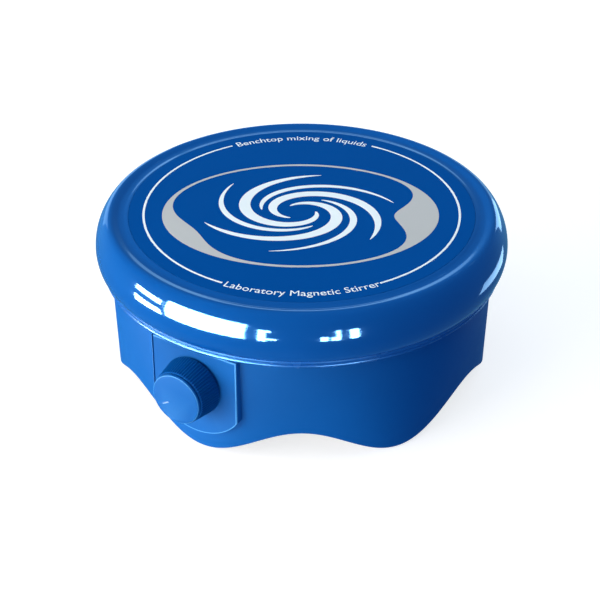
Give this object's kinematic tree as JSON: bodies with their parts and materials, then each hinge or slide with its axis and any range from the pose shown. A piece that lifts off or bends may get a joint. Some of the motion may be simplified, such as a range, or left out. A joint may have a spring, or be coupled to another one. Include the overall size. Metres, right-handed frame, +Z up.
{
  "type": "magnetic stirrer",
  "caption": "Compact round magnetic stirrer: flat top plate with rolled rim, scalloped skirt on rubber feet, side speed knob and an inner motor spinning a pair of magnets.",
  "frame": {"origin": "on the vertical axis of the round housing, at bench level under the rubber feet", "axes": "+Z up; -Y is the front; the speed knob looks out 31.9 degrees to the left of the front; the power inlet is at +Y"},
  "size_m": [0.137, 0.137, 0.0572],
  "materials": {
    "housing_blue": "glossy moulded ABS",
    "label_print": "satin printed polyester",
    "black_nylon": "fine grained",
    "foot_rubber": "matt",
    "zinc_steel": "bright zinc plate",
    "bare_steel": "drawn sheet steel",
    "bronze": "sintered bronze",
    "copper": "bare copper",
    "enamel_wire": "enamelled copper wire",
    "ferrite": "ground ferrite",
    "carbon": "pressed carbon",
    "nickel": "nickel plate",
    "white_paint": "white fill",
    "white_nylon": "natural nylon",
    "board_green": "solder masked glass epoxy",
    "aluminium": "extruded",
    "capacitor_sleeve": "shrink sleeve",
    "lead_red": "PVC insulation",
    "lead_black": "PVC insulation",
    "lead_grey": "PVC ribbon"
  },
  "bodies": {
    "housing": {"top_cover": "housing_blue", "lower_housing": "housing_blue", "top_label": "label_print", "base_plate": "black_nylon", "motor_end_cap": "black_nylon", "power_jack": "black_nylon", "power_transistor": "black_nylon", "rubber_foot_1": "foot_rubber", "rubber_foot_2": "foot_rubber", "rubber_foot_3": "foot_rubber", "rubber_foot_4": "foot_rubber", "rubber_foot_5": "foot_rubber", "rubber_foot_6": "foot_rubber", "housing_screw_1": "zinc_steel", "housing_screw_2": "zinc_steel", "housing_screw_3": "zinc_steel", "bracket_screw_1": "zinc_steel", "bracket_screw_2": "zinc_steel", "bracket_screw_3": "zinc_steel", "motor_screw_1": "zinc_steel", "motor_screw_2": "zinc_steel", "motor_bracket": "zinc_steel", "potentiometer_washer": "zinc_steel", "motor_can": "bare_steel", "potentiometer_body": "bare_steel", "upper_bush": "bronze", "lower_bush": "bronze", "motor_terminal_1": "copper", "motor_terminal_2": "copper", "field_magnet_1": "ferrite", "field_magnet_2": "ferrite", "brush_1": "carbon", "brush_2": "carbon", "potentiometer_nut": "nickel", "power_jack_nut": "nickel", "motor_connector": "white_nylon", "control_connector": "white_nylon", "control_board": "board_green", "heat_sink": "aluminium", "filter_capacitor": "capacitor_sleeve", "motor_lead_red": "lead_red", "power_lead_red": "lead_red", "motor_lead_black": "lead_black", "power_lead_black": "lead_black", "control_lead": "lead_grey"},
    "rotor": {"motor_shaft": "bare_steel", "armature_core": "bare_steel", "armature_coil_1": "enamel_wire", "armature_coil_2": "enamel_wire", "armature_coil_3": "enamel_wire", "commutator": "copper", "magnet_carrier": "bare_steel", "carrier_set_screw": "bare_steel", "stirring_magnet_1": "nickel", "stirring_magnet_2": "nickel"},
    "knob": {"speed_knob": "housing_blue", "knob_pointer": "white_paint", "potentiometer_shaft": "zinc_steel"}
  },
  "joints": [
    {"name": "rotor_spin", "type": "hinge", "parent": "housing", "child": "rotor", "pos_m": [0, 0, 0.0457], "axis": [0, 0, 1], "continuous": true},
    {"name": "knob_turn", "type": "hinge", "parent": "housing", "child": "knob", "pos_m": [-0.03408, -0.05476, 0.0246], "axis": [0.5284, 0.849, 0], "range_deg": [-27.5, 272.5]}
  ]
}
